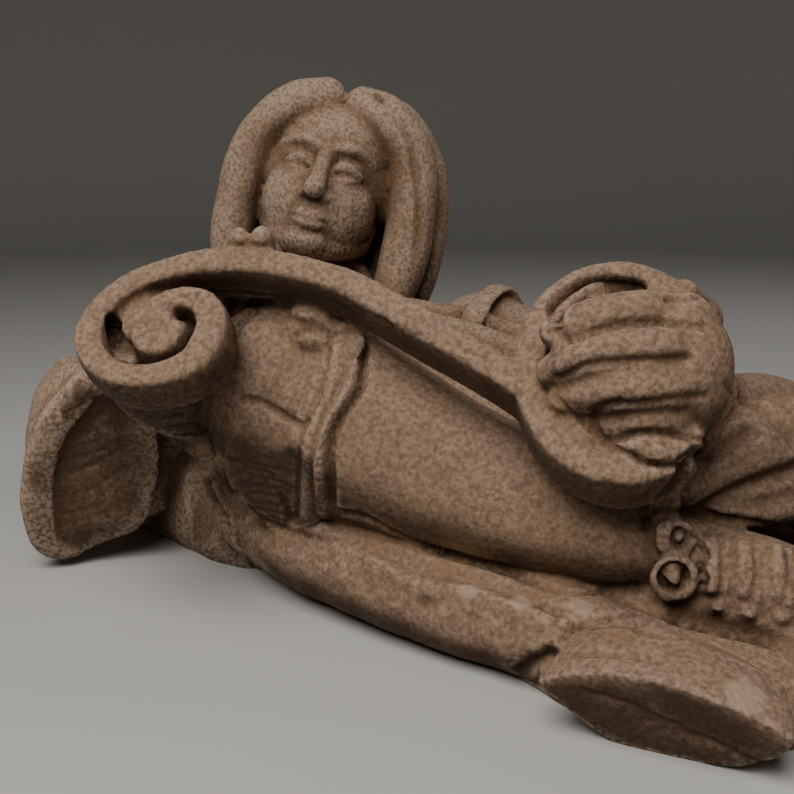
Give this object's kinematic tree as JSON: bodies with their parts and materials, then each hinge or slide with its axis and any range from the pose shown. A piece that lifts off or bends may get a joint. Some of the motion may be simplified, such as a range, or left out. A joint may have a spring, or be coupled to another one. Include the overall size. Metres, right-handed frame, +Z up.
{
  "type": "reclining figure sculpture",
  "caption": "Carved stone figure of a long-haired youth reclining on one elbow, one knee raised, holding a curled scroll, on a low rock base cut flat below.",
  "frame": {"origin": "a point of the flat underside, below the figure's lap", "axes": "+Z up, +X from the leaning elbow to the feet, -Y the side that the figure faces"},
  "size_m": [0.5697, 0.4383, 0.3034],
  "materials": {
    "limestone": "weathered, rough and granular"
  },
  "bodies": {
    "root": {"figure": "limestone"}
  },
  "joints": []
}
